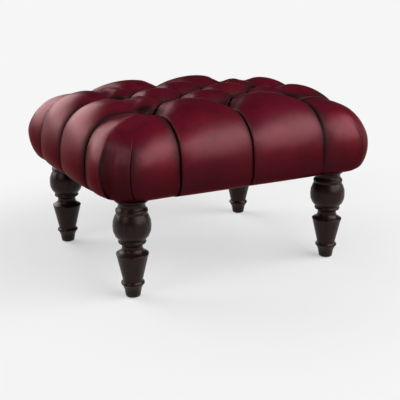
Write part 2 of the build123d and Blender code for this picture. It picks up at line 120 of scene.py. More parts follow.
class Finish:
    """One material and its node tree."""

    def __init__(self, name, **settings):
        self.material = bpy.data.materials.new(name)
        self.material.use_nodes = True
        self.tree = self.material.node_tree
        self.shader = self.tree.nodes["Principled BSDF"]
        for socket, value in settings.items():
            self.shader.inputs[socket.replace("_", " ")].default_value = value

    @classmethod
    def of_tree(cls, tree):
        """A finish on a node tree that is there already."""
        finish = cls.__new__(cls)
        finish.tree = tree
        return finish

    def node(self, kind, settings=None, values=None, out=0):
        """Adds a node, sets it up, feeds its sockets and returns one output as a Wire."""
        made = self.tree.nodes.new(kind)
        for name, value in (settings or {}).items():
            if name == "stops":
                self.set_stops(made.color_ramp, value)
            else:
                setattr(made, name, value)
        for socket, value in (values or {}).items():
            self.feed(made.inputs[socket], value)
        return None if out is None else Wire(self, made.outputs[out])

    def feed(self, socket, value):
        if isinstance(value, Wire):
            self.tree.links.new(value.socket, socket)
        else:
            socket.default_value = value

    def set_stops(self, ramp, stops):
        for element, (place, tone) in zip(ramp.elements, stops):
            element.position = place
            element.color = (*tone, 1.0)

    def surface(self, **feeds):
        for socket, value in feeds.items():
            self.feed(self.shader.inputs[socket.replace("_", " ")], value)

    def place(self, scale=(1, 1, 1)):
        """Places on the object in metres, stretched by a scale."""
        here = self.node("ShaderNodeTexCoord", out="Object")
        return self.node("ShaderNodeMapping", None, {"Vector": here, "Scale": scale})

    def height(self):
        """Heights above the floor in metres."""
        here = self.node("ShaderNodeTexCoord", out="Object")
        return self.node("ShaderNodeSeparateXYZ", None, {0: here}, "Z")

    def noise(self, place, scale, detail=4.0, roughness=0.55, distortion=0.0):
        return self.node("ShaderNodeTexNoise", None,
                         {"Vector": place, "Scale": scale, "Detail": detail,
                          "Roughness": roughness, "Distortion": distortion}, "Fac")

    def ramp(self, value, low, high, colours):
        """A dark colour below a low value, a pale one above a high value and a blend between."""
        stops = tuple(zip((low, high), colours))
        return self.node("ShaderNodeValToRGB", {"stops": stops}, {"Fac": value}, "Color")

    def remap(self, value, low, high, to_low=0.0, to_high=1.0):
        return self.node("ShaderNodeMapRange", {"interpolation_type": "SMOOTHSTEP"},
                         {"Value": value, "From Min": low, "From Max": high,
                          "To Min": to_low, "To Max": to_high})

    def mix(self, first, second, share):
        """Mixes two colours, each a Wire or one of the settings."""
        first, second = (tone if isinstance(tone, Wire) else (*tone, 1.0)
                         for tone in (first, second))
        return self.node("ShaderNodeMix", {"data_type": "RGBA"}, {0: share, 6: first, 7: second}, 2)

    def attribute(self, name):
        return self.node("ShaderNodeAttribute", {"attribute_name": name}, None, "Fac")

    def bump(self, height, distance, strength, under=None):
        values = {"Height": height, "Distance": distance, "Strength": strength}
        if under is not None:
            values["Normal"] = under
        return self.node("ShaderNodeBump", None, values)


def colour(name, description, default):
    return bpy.props.FloatVectorProperty(name=name, description=description, default=default,
                                         size=3, subtype="COLOR", min=0.0, max=1.0)


def length(name, description, default_mm):
    return bpy.props.FloatProperty(name=name, description=description, default=default_mm * MM,
                                   subtype="DISTANCE", unit="LENGTH", precision=4)


# Settings that a user would change
class CushionSettings(bpy.types.PropertyGroup):
    """Sizes and colours of the tufted leather cushion"""

    crest_height: length("Crest height", "Height of the middle tufts above the floor", 378.0)
    fold_height: length("Fold height", "Height of a fold halfway between two buttons", 362.0)
    fold_depth: length("Fold depth", "How deep the leather tucks in along a fold", 4.2)
    lip: length("Lip", "How far one side of a fold laps over the other", 2.6)
    leather: colour("Leather", "Colour of the leather on its crests", (0.130, 0.0080, 0.0290))
    rubbed: colour("Rubbed leather", "Colour of the leather where it is rubbed brighter",
                   (0.188, 0.0112, 0.0370))
    # Shaded leather: painted shade, with dark dye, by the folds, in the hollows round the buttons and
    # in the gores, and on the buttons
    shaded: colour("Shaded leather", "Colour of the dye that gathers in the folds",
                   (0.033, 0.0135, 0.0150))
    # Pale edge: rubbed wear and a painted highlight along each fold's lapping edge, paler higher up
    pale_edge: colour("Pale edge", "Colour of the leather where a fold's edge is rubbed pale",
                      (0.30, 0.115, 0.105))
    # Crease: painted shade, with dark dye, at the bottom of a fold and in the hollows round the
    # buttons
    crease: colour("Crease", "Colour of the dye at the bottom of a fold", (0.005, 0.0040, 0.0040))
    # Low dye: painted shade low on the sides, with dark dye, and the colour of the dark spots
    low_shade_and_dye: colour("Low dye", "Colour of the leather low on the sides", (0.018, 0.0018, 0.0080))
    gloss: colour("Gloss", "Colour of the leather's reflections", (1.0, 1.0, 0.95))
    # Glaze: tint of a clear coat that is thicker low on the sides and over the folds, as painted
    # shade on the reflections
    glaze: colour("Glaze", "Colour of the clear dye over the leather", (0.71, 0.20, 0.26))


class LegSettings(bpy.types.PropertyGroup):
    """Colours of the turned legs"""

    wood: colour("Wood", "Colour of the stained wood", (0.0185, 0.0066, 0.0060))
    grain: colour("Grain", "Colour of the wood's darker grain", (0.0065, 0.0024, 0.0021))
    lacquer: colour("Lacquer", "Colour of the wood's reflections", (1.0, 0.80, 0.77))


class StageSettings(bpy.types.PropertyGroup):
    """Camera, floor and lights"""

    lens: bpy.props.FloatProperty(name="Lens", description="Focal length of the camera",
                                  default=72.93, unit="CAMERA")
    shift: bpy.props.FloatProperty(name="Shift", default=-0.15,
                                   description="How far the camera's picture is shifted down")
    floor: colour("Floor", "Colour of the floor and the backdrop", (0.92, 0.92, 0.92))
    room: colour("Room", "Colour that the floor and the room throw back at the stool",
                 (0.30, 0.30, 0.30))
    ceiling: colour("Ceiling", "Colour of the dim room above the backdrop", (0.05, 0.05, 0.05))


# Curves and shares
def span(value, start, end):
    """0 at the start of a span, 1 at its end and a straight rise between, also downwards."""
    return np.clip((value - start) / (end - start), 0, 1)


def eased(share):
    """The same share with a soft start and a soft end."""
    return share * share * (3 - 2 * share)


def swelling(share, power):
    """The same share with a soft start, by its power, and a round top."""
    return share ** power * (1 + power - power * share)


def rounding(share, power, root):
    """0 at both ends of a span and 1 at its middle, flat on top and steep at its ends."""
    return (1 - np.abs(2 * share - 1) ** power) ** root


def bell(value, middle, width):
    """1 at a value, and down to nothing on both sides of it."""
    return np.exp(-((value - middle) / width) ** 2)


def cubic(start, end, start_slope, end_slope, t):
    """Places on a curve with given ends and slopes, by the share of the way along it."""
    return (start * (2 * t**3 - 3 * t**2 + 1) + start_slope * (t**3 - 2 * t**2 + t)
            + end * (3 * t**2 - 2 * t**3) + end_slope * (t**3 - t**2))


def smooth_line(points, per_span):
    """Many points on a smooth line through a few, the same number for each span."""
    p = np.array(points, float)
    before = np.vstack([2 * p[0] - p[1], p[:-1]])
    after = np.vstack([p[1:], 2 * p[-1] - p[-2]])
    slopes = (after - before) / 2
    t = np.linspace(0, 1, per_span, endpoint=False)[:, None]
    line = [cubic(*p[i:i + 2], *slopes[i:i + 2], t) for i in range(len(p) - 1)]
    return np.vstack([*line, p[-1:]])


def smooth_through(at, knots, values):
    """Values of a smooth line through a few knots."""
    slopes = np.gradient(values, knots)
    i = np.clip(np.searchsorted(knots, at, side="right") - 1, 0, len(knots) - 2)
    gap = knots[i + 1] - knots[i]
    return cubic(values[i], values[i + 1], slopes[i] * gap, slopes[i + 1] * gap,
                 (at - knots[i]) / gap)


def distances_along(line):
    """How far along a line, or along each of a row of lines, its points are."""
    steps = np.linalg.norm(np.diff(line, axis=-2), axis=-1)
    return np.concatenate([np.zeros((*steps.shape[:-1], 1)), np.cumsum(steps, axis=-1)], axis=-1)


def nearest(x, y, places):
    """How far each point is from the nearest of a few places."""
    return np.min([np.hypot(x - px, y - py) for px, py in places], axis=0)


# The mesh's columns are a first step apart at a fold. Each step on is so many times the one
# before, up to the widest
FIRST_STEP = 0.9
STEP_GROWTH = 1.45
WIDEST_STEP = 9.0


def graded(width):
    """Places across a width, as shares of it, close together at both its ends."""
    places = [0.0]
    step = FIRST_STEP
    while places[-1] + step < width / 2 - step / 2:
        places.append(places[-1] + step)
        step = min(step * STEP_GROWTH, WIDEST_STEP)
    near = np.array(places) / width
    return np.concatenate([near, [0.5], 1 - near[::-1]])


# Heights in millimetres: of the leather where a button holds it, and of the turn at the hem
WELL_Z = BUTTON_Z + 0.5
HEM_TURN_Z = HEM_Z + 0.6
# Thickness of the leather round the frame, and how wide the hem is
LEATHER = 1.8
HEM_WIDTH = 24.0
# How far out the lower edge is from the outer buttons: at the front, at the end and at a corner
EDGE_FRONT = FRAME_Y - PITCH_Y + LEATHER
EDGE_END = FRAME_X - PITCH_X + LEATHER
EDGE_CORNER = 131.0


def with_hem(edge, *points):
    """A profile that ends round the frame's lower edge and in to the hem."""
    return (*points, (edge, HEM_TURN_Z), (edge - HEM_WIDTH, HEM_Z))


# Half profiles of the cushion: millimetres out from the outer buttons, and above the floor
PLEAT_FRONT = with_hem(
    EDGE_FRONT, (0, WELL_Z), (10, 344), (22, 347.5), (36, 350.5), (58, 348.5), (80, 338),
    (99, 320), (111, 300), (115.5, 276), (117, 250), (116.5, 228), (109, 212), (97, 204.5))
CREST_FRONT = with_hem(
    EDGE_FRONT, (-68, WELL_Z), (-60, 348.5), (-46, 359), (-16, 373), (18, 377), (54, 369),
    (86, 350), (112, 320), (126, 284), (128.5, 255), (125, 230), (115, 213), (100, 204.5))
PLEAT_END = with_hem(
    EDGE_END, (0, WELL_Z), (10, 344.5), (24, 349), (42, 353), (66, 354), (92, 347), (116, 331),
    (130, 307), (137, 280), (139, 252), (137.5, 230), (129, 213), (115, 204.5))
CREST_END = with_hem(
    EDGE_END, (-85, WELL_Z), (-76, 349), (-58, 361), (-22, 374), (12, 367), (54, 373.5),
    (94, 363.5), (130, 333), (148, 287), (150, 254), (145, 230), (133.5, 213), (117, 204.5))
CREST_CORNER = with_hem(
    EDGE_CORNER, (0, WELL_Z), (10, 345), (24, 350.5), (44, 355), (70, 351.5), (98, 345),
    (124, 333.5), (148, 311), (163, 284), (166.5, 258), (163, 234), (153.5, 214), (143, 204))

# A row of the mesh is at a level of its profile: 0 at the first point, 6 on the shoulder, 12 at
# the bottom of the side and 14 at the hem's edge. The first rows crowd together, by a power
POINTS_PER_SPAN = 24
ROWS_PER_SPAN = (8, 5, 6, 5, 5, 6, 6, 6, 5, 5, 5, 5, 4, 4)
CROWDING_POWER = 1.5


def levels_of_rows():
    """The level of each row of the mesh, closer together at the button."""
    levels = [0.0]
    for before, count in enumerate(ROWS_PER_SPAN):
        shares = np.arange(1, count + 1) / count
        if before == 0:
            shares = shares ** CROWDING_POWER
        levels += list(before + shares)
    return np.array(levels)


LEVELS = levels_of_rows()


def rows_of(profile):
    """The mesh's rows on the smooth line through a profile's points: how far out, how high."""
    line = smooth_line(profile, POINTS_PER_SPAN)
    at = np.arange(len(line)) / POINTS_PER_SPAN
    return [np.interp(LEVELS, at, line[:, k]) for k in (0, 1)]


# A fold between two buttons rises from their rims, and the leather rises round each of them
RIM = 9.0
RIDGE_POWER = 1.25
POCKET_SPAN = (6.0, 56.0)
POCKET_POWER = 1.3
# How far from its button a fold starts, and is full
FOLD_SPAN = (8.0, 24.0)
# How far from a fold the leather dips into it, and how the lapping side is pushed over
TUCK_REACH = 5.0
LAP_RISE_SPAN = (0.0, 3.0)
LAP_FALL_SPAN = (12.0, 3.0)
LAP_SWELL_SHARE = 0.5
# How wide the painted shade, with dark dye, gathers on the lapping side of a fold and under it, how
# far round a button's hollow the painted shade is full, and how quickly it fades beyond
OVER_SHADE = 5.0
UNDER_SHADE = 13.0
HOLLOW_RADIUS = 20.0
HOLLOW_SHADE = 14.0
# Where the lapping edge is painted pale, as rubbed wear and a painted highlight, and how wide
EDGE_PLACE = 3.4
EDGE_WIDTH = 1.5
# Too far from a fold to be tucked by it, and too short a way to have a direction
FAR = 1000.0
TINY = 1e-6


def from_button(share):
    """How far a place on the fold between two buttons is from the nearer one."""
    return np.minimum(share, 1 - share) * DIAGONAL


def ridge(distance):
    """Height of the fold between two buttons, as a share, by the distance from the nearer one."""
    return swelling(span(distance, RIM, DIAGONAL / 2), RIDGE_POWER)


def pocket(distance):
    """How far the leather has risen out of the hollow round a button, as a share."""
    return swelling(span(distance, *POCKET_SPAN), POCKET_POWER)


def fold_strength(distance):
    """How full a fold is, as a share, by the distance from its button."""
    return eased(span(distance, *FOLD_SPAN))


def toward(places, edge):
    """The way from each place to an edge of the patch."""
    way = edge - places
    size = np.linalg.norm(way, axis=-1, keepdims=True)
    return way / np.maximum(size, TINY)


class Patch:
    """A grid of points, and how much each is tucked in and lapped by its folds, how much painted
    shade with dark dye it has by its folds and hollows, and how pale its lapping edges are, as rubbed
    wear and a painted highlight.
    """

    def __init__(self, places):
        self.places = places
        self.lap = np.zeros(places.shape)
        self.groove, self.shade, self.edge = np.zeros((3, *places.shape[:2]))

    def tuck(self, distance, strength, way, laps):
        """Tucks the leather in by a fold at a distance, and laps it if this side is on top."""
        near = 1 - span(distance, 0.0, TUCK_REACH)
        self.groove = np.maximum(self.groove, strength * (1 - np.sqrt(1 - near ** 2)))
        full = np.minimum(strength, 1)
        # Painted shade, with dark dye, along the fold: narrow on the lapping side and wide on the
        # side under it
        gather = np.exp(-distance / (OVER_SHADE if laps else UNDER_SHADE))
        self.shade = np.maximum(self.shade, full * gather)
        if laps:
            # The lapping edge is painted pale: rubbed wear and a painted highlight of the lip
            self.edge = np.maximum(self.edge, full * bell(distance, EDGE_PLACE, EDGE_WIDTH))
            push = eased(span(distance, *LAP_RISE_SPAN)) * eased(span(distance, *LAP_FALL_SPAN))
            self.lap += way * (strength * push)[..., None]

    def paint_hollow_shade(self, distance):
        """Paints shade in the hollow round a button, with the dark dye that gathers there."""
        outside = np.maximum(distance - HOLLOW_RADIUS, 0)
        self.shade = np.maximum(self.shade, np.exp(-outside / HOLLOW_SHADE))

    def mirrored(self, sx, sy):
        """The same patch on another side of the middle, its lap turned with it."""
        other = Patch(self.places * (sx, sy, 1))
        other.lap = self.lap * (sx, sy, 1)
        other.groove, other.shade, other.edge = self.groove, self.shade, self.edge
        return other


# Power and root of the rounding of a diamond, and of a lobe at the first levels of its profile
DIAMOND_SHARES = (2.2, 0.8)
LOBE_SHARES = ((1.0, 1.0), (1.2, 1.0), (1.5, 1.0), (1.8, 0.92), (2.0, 0.84), (2.2, 0.74),
               (2.2, 0.66), (2.2, 0.62))
# How much of the ridge between two buttons the first levels of a lobe keep
RIDGE_SHARES = (1.0, 0.93, 0.6, 0.12, 0.0)


def diamond(cx, cy, fold_rise, crest_rise):
    """The tuft between four buttons, crowned, with its folds along its sides."""
    shares = graded(DIAGONAL)
    u, v = np.meshgrid(shares, shares, indexing="ij")
    half_x, half_y = PITCH_X / 2, PITCH_Y / 2
    x = cx + (u - v) * half_x
    y = cy + (u + v - 1) * half_y
    round_v, round_u = rounding(v, *DIAMOND_SHARES), rounding(u, *DIAMOND_SHARES)
    from_u, from_v = from_button(u), from_button(v)
    to_button = nearest(x, y, ((cx, cy - half_y), (cx, cy + half_y),
                               (cx - half_x, cy), (cx + half_x, cy)))
    z = WELL_Z + fold_rise * (ridge(from_u) * (1 - round_v) + ridge(from_v) * (1 - round_u))
    z += crest_rise * round_v * round_u * pocket(to_button)
    p = np.stack([x, y, z], -1)
    patch = Patch(p)
    patch.paint_hollow_shade(to_button)
    across = DIAGONAL * math.sin(2 * math.atan2(PITCH_X, PITCH_Y))
    patch.tuck(v * across, fold_strength(from_u), toward(p, p[:, :1]), False)
    patch.tuck((1 - v) * across, fold_strength(from_u), toward(p, p[:, -1:]), True)
    patch.tuck(u * across, fold_strength(from_v), toward(p, p[:1]), True)
    patch.tuck((1 - u) * across, fold_strength(from_v), toward(p, p[-1:]), False)
    return patch


def lobe(front, start, fold_rise):
    """The lobe between two outer buttons, out over the side and under to the hem.

    A lobe of the front laps over the pleat at its left, and one of the end over its rear pleat.
    """
    pitch, inward = (PITCH_X, PITCH_Y / 2) if front else (PITCH_Y, PITCH_X / 2)
    pleat_out, pleat_z = rows_of(PLEAT_FRONT if front else PLEAT_END)
    crest_out, crest_z = rows_of(CREST_FRONT if front else CREST_END)
    half = graded(DIAGONAL) / 2
    share = np.concatenate([half, 0.5 + half[1:]])[:, None]
    power, root = (np.interp(LEVELS, range(len(LOBE_SHARES)), column)
                   for column in zip(*LOBE_SHARES))
    weight = rounding(share, power, root)
    out = pleat_out * (1 - weight) + crest_out * weight
    to_button = nearest(share * pitch, out, ((0, 0), (pitch, 0), (pitch / 2, -inward)))
    rise = weight * pocket(to_button)
    keep = np.interp(LEVELS, range(len(RIDGE_SHARES)), RIDGE_SHARES)
    from_corner = from_button(np.minimum(2 * share, 2 - 2 * share))
    z = pleat_z * (1 - rise) + crest_z * rise + fold_rise * ridge(from_corner) * keep
    along = start + share * pitch + np.zeros_like(out)
    p = np.stack([along, -PITCH_Y - out, z] if front else [-PITCH_X - out, along, z], -1)
    patch = Patch(p)
    patch.paint_hollow_shade(to_button)
    strength = fold_strength(distances_along(np.stack([pleat_out, pleat_z], -1)))
    patch.tuck(share * pitch, strength, toward(p, p[:1]), front)
    patch.tuck((1 - share) * pitch, strength, toward(p, p[-1:]), not front)
    slant = math.cos(math.atan2(inward, pitch / 2))
    length_out = distances_along(np.stack([crest_out, crest_z], -1))
    patch.tuck(length_out * slant, fold_strength(from_corner), toward(p, p[:, :1]), False)
    return patch


class CornerShape(NamedTuple):
    """How a corner is folded and how full it is. Its gore is the strip between its two folds."""

    folds: tuple
    # For each fold, 1 where the side further round laps over the other, and -1 where it is under
    laps: tuple
    # How far the gore stands back at each fold, and how far its soft rib stands out
    depths: tuple
    rib: float
    # How dark the gore is painted, as a share: painted shade in its recess, with dark dye
    dye: float
    # How full the corner is, and how much it narrows towards its hem
    full_share: float
    taper: float
    # Height of the soft ridge that runs on over the top from the last fold
    ridge: float


# Angles are in degrees round from the front pleat
LEFT_CORNER = CornerShape(folds=(39.0, 60.5), laps=(1, 1), depths=(3.0, 11.0), rib=1.6, dye=0.95,
                          full_share=1.0, taper=8.0, ridge=2.5)
RIGHT_CORNER = CornerShape(folds=(33.5, 71.0), laps=(-1, 1), depths=(2.0, 3.0), rib=0.8, dye=0.35,
                           full_share=1.033, taper=0.0, ridge=1.0)
QUARTER = 90.0
# How far the crest of the side reaches at angles round a corner, and about how far on the whole
CORNER_STATIONS = ((0, 115), (8, 128), (20, 140), (30, 151.5), (39, 159), (50, 162.5), (61, 163.5),
                   (70, 160), (79, 153), (85, 147), (90, 137))
CORNER_RADIUS = 150.0
# Power and root of the rounding round a corner, across its gore and of the gore's painted shade with
# its dye
CORNER_SHARES = (3.0, 0.6)
GORE_SHARES = (10.0, 0.7)
GORE_SHADE_SHARES = (6.0, 0.5)
# Middle and width of the gore's rib, of the painted highlight down it, and how much of the gore's
# painted shade that highlight takes away
RIB_SHARES = (0.45, 0.10)
RIB_HIGHLIGHT_SHARES = (0.42, 0.09)
RIB_HIGHLIGHT_SHARE = 0.7
# How the corner's fullness and its taper gather half way round, and the width of its top ridge
FULL_POWER = 0.7
TAPER_POWER = 0.5
RIDGE_WIDTH = 9.0
# How much deeper the corner's folds are low down
DEEPER_SHARE = 0.4
# The levels between which each of these grows to its full size, and ends
FOLD_LEVELS = (6.0, 7.8)
DEEPER_LEVELS = (8.0, 11.0)
GORE_END_LEVELS = (12.5, 10.0)
TAPER_LEVELS = (8.5, 11.0)
TAPER_END_LEVELS = (13.0, 12.0)
RIDGE_LEVELS = (0.75, 2.25)
RIDGE_END_LEVELS = (7.5, 5.0)
TO_FRAME_LEVELS = (10.8, 13.0)
HEM_LEVELS = (13.0, 14.0)
GORE_SHADE_LEVELS = (6.2, 10.7)
RIB_HIGHLIGHT_END_LEVELS = (11.0, 9.0)


def corner_angles(folds):
    """Angles of the mesh's columns, close together at pleats and folds, and one at the frame's."""
    angles = [QUARTER, math.degrees(math.atan2(EDGE_END, EDGE_FRONT))]
    marks = (0.0, *folds, QUARTER)
    for low, high in zip(marks[:-1], marks[1:]):
        shares = graded(CORNER_RADIUS * math.radians(high - low))
        angles += list(low + (high - low) * shares[:-1])
    return np.unique(np.round(angles, 4))[:, None]


def frame_edge(angles, inside):
    """How far the frame's edge, less an inset, is from the corner button by angle."""
    a = np.radians(angles)
    with np.errstate(divide="ignore"):
        return np.minimum((EDGE_FRONT - inside) / np.cos(a), (EDGE_END - inside) / np.sin(a))


def corner_crest(shape, angles, across, crest_out):
    """How far the crest of a corner reaches: its gore stands back and it narrows to its hem."""
    reach = smooth_through(angles, *np.array(CORNER_STATIONS, float).T)
    middle = np.sin(2 * np.radians(angles))
    reach = reach * (1 + (shape.full_share - 1) * middle ** FULL_POWER)
    depth = shape.depths[0] * (1 - across) + shape.depths[1] * across
    gore = depth * rounding(across, *GORE_SHARES) - shape.rib * bell(across, *RIB_SHARES)
    gore = gore * eased(span(LEVELS, *FOLD_LEVELS)) * span(LEVELS, *GORE_END_LEVELS)
    narrow = span(LEVELS, *TAPER_LEVELS) * span(LEVELS, *TAPER_END_LEVELS)
    return crest_out * (reach / crest_out.max()) - gore - shape.taper * narrow * middle ** TAPER_POWER


def gore_shade_and_dye(shape, across):
    """How dark the painted shade, with dark dye, is in the recessed gore between a corner's two
    folds, with a painted highlight down its rib.
    """
    dye = shape.dye * rounding(across, *GORE_SHADE_SHARES) * span(LEVELS, *GORE_SHADE_LEVELS)
    line = bell(across, *RIB_HIGHLIGHT_SHARES) * span(LEVELS, *RIB_HIGHLIGHT_END_LEVELS)
    return dye * (1 - RIB_HIGHLIGHT_SHARE * line)


def corner(shape, end_laps):
    """A corner of the cushion, smooth on top, with two folds and a gore down its side."""
    angles = corner_angles(shape.folds)
    across = span(angles, *shape.folds)
    blend = eased(angles / QUARTER)
    weight = rounding(angles / QUARTER, *CORNER_SHARES)
    pleat_out, pleat_z = (front * (1 - blend) + end * blend
                          for front, end in zip(rows_of(PLEAT_FRONT), rows_of(PLEAT_END)))
    crest_out, crest_z = rows_of(CREST_CORNER)
    crest_out = corner_crest(shape, angles, across, crest_out)
    out = pleat_out * (1 - weight) + crest_out * weight
    to_frame = eased(span(LEVELS, *TO_FRAME_LEVELS))
    edge_out = frame_edge(angles, span(LEVELS, *HEM_LEVELS) * HEM_WIDTH)
    out = out * (1 - to_frame) + edge_out * to_frame
    on_top = span(LEVELS, *RIDGE_LEVELS) * span(LEVELS, *RIDGE_END_LEVELS)
    z = pleat_z * (1 - weight) + crest_z * weight
    z += shape.ridge * bell(angles, shape.folds[1], RIDGE_WIDTH) * on_top
    a = np.radians(angles)
    p = np.stack([-PITCH_X - out * np.sin(a), -PITCH_Y - out * np.cos(a), z], -1)
    patch = Patch(p)
    patch.paint_hollow_shade(out)
    # Painted shade, with dark dye, in the gore's recess
    patch.shade = np.maximum(patch.shade, gore_shade_and_dye(shape, across))
    strength = fold_strength(distances_along(p))
    patch.tuck(a * out, strength, toward(p, p[:1]), False)
    patch.tuck((math.pi / 2 - a) * out, strength, toward(p, p[-1:]), end_laps)
    deep = eased(span(LEVELS, *FOLD_LEVELS)) * (1 + DEEPER_SHARE * span(LEVELS, *DEEPER_LEVELS))
    for fold, laps in zip(shape.folds, shape.laps):
        at = int(np.argmin(abs(angles - fold)))
        gap = np.radians(abs(angles - fold)) * out
        over = (angles - fold) * laps > 0
        way = toward(p, p[at:at + 1])
        patch.tuck(np.where(over, gap, FAR), deep, way, True)
        patch.tuck(np.where(over, FAR, gap), deep, way, False)
    return patch


# How far the front's and the left end's pleats run aside from their buttons, by where they are
# along that side, out to the corners' ends, and over what span outside the buttons it grows
CORNER_X = 255.0
CORNER_Y = 215.0
FRONT_WANDER = ((-CORNER_X, 0.0), (-PITCH_X, 9.5), (0.0, 0.0), (PITCH_X, 4.0), (CORNER_X, 0.0))
LEFT_WANDER = ((-PITCH_Y, 0.0), (0.0, 0.0), (PITCH_Y, -11.0), (CORNER_Y, 0.0))
WANDER_SPAN = (4.0, 48.0)


def wander(points):
    """Lets pleats run a little aside from their buttons, as hand-laid pleats do."""
    moved = np.zeros_like(points)
    for out, along, buttons, places in ((1, 0, PITCH_Y, FRONT_WANDER), (0, 1, PITCH_X, LEFT_WANDER)):
        grown = eased(span(-buttons - points[:, out], *WANDER_SPAN))
        moved[:, along] += grown * np.interp(points[:, along], *zip(*places))
    return moved


def cushion_patches(look):
    """The cushion's patches, each with whether its faces have to be turned over."""
    fold_rise = look.fold_height / MM - WELL_Z
    crest_rise = look.crest_height / MM - WELL_Z
    middles = ((0, PITCH_Y / 2), (0, -PITCH_Y / 2), (PITCH_X / 2, 0), (-PITCH_X / 2, 0))
    patches = [(diamond(cx, cy, fold_rise, crest_rise), True) for cx, cy in middles]
    for front, pitch, far_side in ((True, PITCH_X, (1, -1)), (False, PITCH_Y, (-1, 1))):
        for start in (-pitch, 0.0):
            patch = lobe(front, start, fold_rise)
            patches += [(patch, not front), (patch.mirrored(*far_side), front)]
    for sx, shape in ((-1, LEFT_CORNER), (1, RIGHT_CORNER)):
        for sy in (-1, 1):
            patches.append((corner(shape, sy < 0).mirrored(-sx, -sy), sx == sy))
    return patches


def grid_faces(rows, columns, start=0, flip=False):
    """Faces of a grid of points, counted from a first point."""
    faces = []
    for i in range(rows - 1):
        for j in range(columns - 1):
            a = start + i * columns + j
            quad = (a, a + 1, a + columns + 1, a + columns)
            faces.append(quad[::-1] if flip else quad)
    return faces


# Points closer than this many millimetres are one
WELD_GAP = 0.01


def weld(patches):
    """Joins patches where they meet. A joined point keeps the largest of each of its marks."""
    faces = []
    start = 0
    for patch, flip in patches:
        faces += grid_faces(*patch.shade.shape, start, flip)
        start += patch.shade.size
    points, lap = (np.vstack([getattr(patch, name).reshape(-1, 3) for patch, _ in patches])
                   for name in ("places", "lap"))
    keys = np.round(points / WELD_GAP).astype(np.int64)
    first, index = np.unique(keys, axis=0, return_index=True, return_inverse=True)[1:]
    index = index.ravel()
    marks = []
    for name in ("groove", "shade", "edge"):
        largest = np.zeros(len(first))
        mark = np.concatenate([getattr(patch, name).ravel() for patch, _ in patches])
        np.maximum.at(largest, index, mark)
        marks.append(largest)
    rings = []
    for face in faces:
        ring = [int(index[i]) for i in face]
        ring = [p for k, p in enumerate(ring) if p != ring[k - 1]]
        if len(ring) > 2:
            rings.append(tuple(ring))
    return points[first], rings, lap[first], *marks


def add_mesh(name, points, faces):
    """Adds a smooth mesh to the scene, its points in metres."""
    mesh = bpy.data.meshes.new(name)
    mesh.from_pydata([tuple(p) for p in points], [], faces)
    mesh.validate()
    mesh.shade_smooth()
    piece = bpy.data.objects.new(name, mesh)
    bpy.context.scene.collection.objects.link(piece)
    return piece


def vertex_normals(mesh):
    """The way that the surface faces at each of a mesh's points."""
    normals = np.zeros(len(mesh.vertices) * 3, np.float32)
    mesh.vertices.foreach_get("normal", normals)
    return normals.reshape(-1, 3).astype(float)


# Heights above the hem between which the leather comes free of the frame
FREE_SPAN = (1.0, 7.0)


class FOOTSTOOL_OT_cushion(bpy.types.Operator):
    """Makes the deep-buttoned leather cushion with its folds, padded sides and hem"""

    bl_idname = "footstool.cushion"
    bl_label = "Cushion"

    def execute(self, context):
        look = context.scene.footstool_cushion
        points, faces, lap, groove, shade, edge = weld(cushion_patches(look))
        points = points + wander(points)
        piece = add_mesh("tufted_cushion", points * MM, faces)
        outward = np.linalg.norm(lap, axis=1) * LAP_SWELL_SHARE - groove * (look.fold_depth / MM)
        free = span(points[:, 2] - HEM_Z, *FREE_SPAN)[:, None]
        moved = points + free * (lap * (look.lip / MM)
                                 + vertex_normals(piece.data) * outward[:, None])
        piece.data.vertices.foreach_set("co", (moved * MM).astype(np.float32).ravel())
        for name, value in (("shade", shade), ("edge", edge)):
            mark = piece.data.attributes.new(name, "FLOAT", "POINT")
            mark.data.foreach_set("value", value.astype(np.float32))
        piece.data.update()
        soften = piece.modifiers.new("Soften", "SUBSURF")
        soften.levels = 1
        soften.render_levels = 1
        piece.data.materials.append(leather_finish(look))
        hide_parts("leather_cover", "wadding", "foam_block")
        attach(piece, "root")
        return {"FINISHED"}


# The clear coat of dye on the cushion and its buttons
COAT = {"Coat_Roughness": 0.4, "Coat_IOR": 1.04}
# Heights in metres between which the painted shade low on the sides and the glaze, thicker low down
# as painted shade on the reflections, fade, and the pale edges of rubbed wear and painted highlight
# come in, and how far the clouds in the leather shift the first two
LOW_SHADE_HEIGHTS = (0.22, 0.312)
LOW_SHADE_SHIFT = 0.04
GLAZE_SHADE_HEIGHTS = (0.25, 0.318)
GLAZE_SHADE_SHIFT = 0.02
PALE_EDGE_HEIGHTS = (0.25, 0.32)
# How much there is of the painted shade low on the sides, the glaze, the dark spots, the pale edges
# and the buttons' rubbed leather, at both ends of the span between which each comes in
LOW_SHADE_SHARES = (0.9, 0.0)
GLAZE_SHADE_SHARES = (1.0, 0.67)
SPOT_SHARES = (0.0, 0.3)
PALE_EDGE_SHARES = (0.1, 0.5)
RUBBED_BUTTON_SHARES = (0.0, 0.6)
# Where a noise or a mark comes in: the clouds, the dark spots, the mottling, and the painted shade
# with dye and the pulled wrinkles by a fold
CLOUD_SPAN = (0.4, 0.62)
SPOT_SPAN = (0.5, 0.66)
MOTTLE_SPAN = (0.3, 0.7)
FOLD_SHADE_SPAN = (0.05, 0.95)
PULLED_SPAN = (0.05, 0.5)
# How strong the painted shade, with dye, by a fold is, how mottled, and how steeply it turns into the
# crease's painted shade
FOLD_SHADE = 1.15
FOLD_SHADE_MOTTLE = 0.3
CREASE_POWER = 4.0
# The leather's roughness, what its mottling and its painted shade with dye add, and the coat over
# that shade
ROUGHNESS = 0.36
MOTTLED_ROUGHNESS = 0.10
SHADED_ROUGHNESS = 0.22
SHADED_COAT = 0.85
# A noise runs from 0 to 1 round its middle
MIDDLE = 0.5


